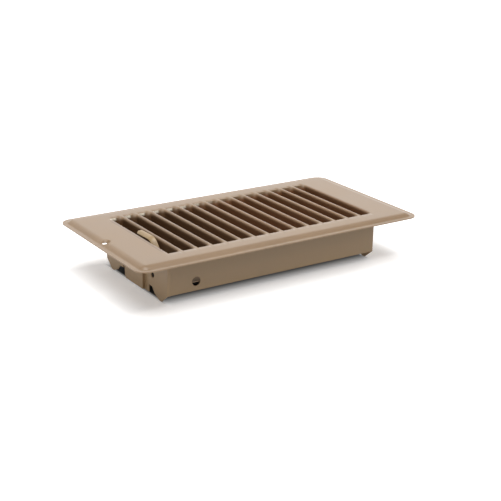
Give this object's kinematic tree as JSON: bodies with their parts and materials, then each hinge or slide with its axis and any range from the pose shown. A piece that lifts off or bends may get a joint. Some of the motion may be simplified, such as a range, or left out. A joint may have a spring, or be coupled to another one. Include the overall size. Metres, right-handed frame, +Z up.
{
  "type": "louvred floor register",
  "caption": "Rectangular louvred floor register: stamped faceplate on a shallow duct box, with a two-blade damper worked by a finger lever.",
  "frame": {"origin": "middle of the footprint, on the surface that the box's feet stand on", "axes": "+X along the length, away from the control lever's end; +Y across the width, towards the side wall whose duct hole is at the right; +Z up, out of the louvres"},
  "size_m": [0.271, 0.141, 0.0432],
  "materials": {
    "faceplate_paint": "satin tan baked enamel",
    "box_paint": "satin tan baked enamel, thinner coat",
    "blade_paint": "satin tan baked enamel, thinner coat",
    "lever_paint": "satin tan baked enamel",
    "plated_steel": "zinc plated",
    "spring_steel": "blued spring steel",
    "bush_nylon": "black nylon"
  },
  "bodies": {
    "register_frame": {"faceplate": "faceplate_paint", "near_side_wall": "box_paint", "far_side_wall": "box_paint", "left_end_plate": "box_paint", "right_end_plate": "box_paint", "pivot_bushes": "bush_nylon"},
    "near_damper": {"near_damper_blade": "blade_paint", "near_pivot_pins": "plated_steel", "near_tension_washers": "spring_steel", "control_lever": "lever_paint", "lever_rivets": "plated_steel", "near_link_rivet": "plated_steel"},
    "far_damper": {"far_damper_blade": "blade_paint", "far_pivot_pins": "plated_steel", "far_tension_washers": "spring_steel", "far_link_rivet": "plated_steel"},
    "damper_link": {"link_bar": "plated_steel", "link_washers": "plated_steel"}
  },
  "joints": [
    {"name": "damper_turn", "type": "hinge", "parent": "register_frame", "child": "near_damper", "pos_m": [0, -0.028, 0.018], "axis": [1, 0, 0], "range_deg": [0, 31]},
    {"name": "far_blade_turn", "type": "hinge", "parent": "register_frame", "child": "far_damper", "pos_m": [0, 0.028, 0.018], "axis": [1, 0, 0], "range_deg": [0, 31]},
    {"name": "link_swing", "type": "hinge", "parent": "near_damper", "child": "damper_link", "pos_m": [0, -0.02586, 0.02571], "axis": [1, 0, 0], "range_deg": [-31, 0]}
  ],
  "couplings": [
    {"joint": "far_blade_turn", "follows": "damper_turn", "ratio": 1},
    {"joint": "link_swing", "follows": "damper_turn", "ratio": -1}
  ]
}
